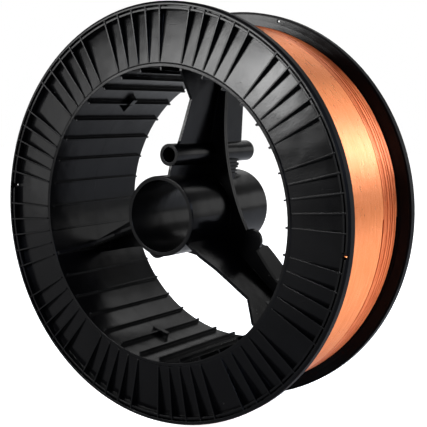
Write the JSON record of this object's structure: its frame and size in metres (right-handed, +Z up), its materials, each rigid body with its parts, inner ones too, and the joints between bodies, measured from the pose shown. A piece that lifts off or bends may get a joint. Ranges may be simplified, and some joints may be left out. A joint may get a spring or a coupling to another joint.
{
  "type": "welding wire spool",
  "caption": "Full plastic spool of copper-coated MIG welding wire, with ribbed flanges, a spindle bore on three spokes and an offset driver hole.",
  "frame": {"origin": "centre of the spindle bore, on the plane where the two halves of the spool meet", "axes": "the spool's axis runs along Y with the front flange toward -Y, +Z is up and +X is to the right seen from the front"},
  "size_m": [0.3, 0.103, 0.3],
  "materials": {
    "black_plastic": "satin injection-moulded",
    "copper_wire": "bright copper-coated drawn wire"
  },
  "bodies": {
    "root": {"front_half": "black_plastic", "rear_half": "black_plastic", "wire_winding": "copper_wire"}
  },
  "joints": []
}
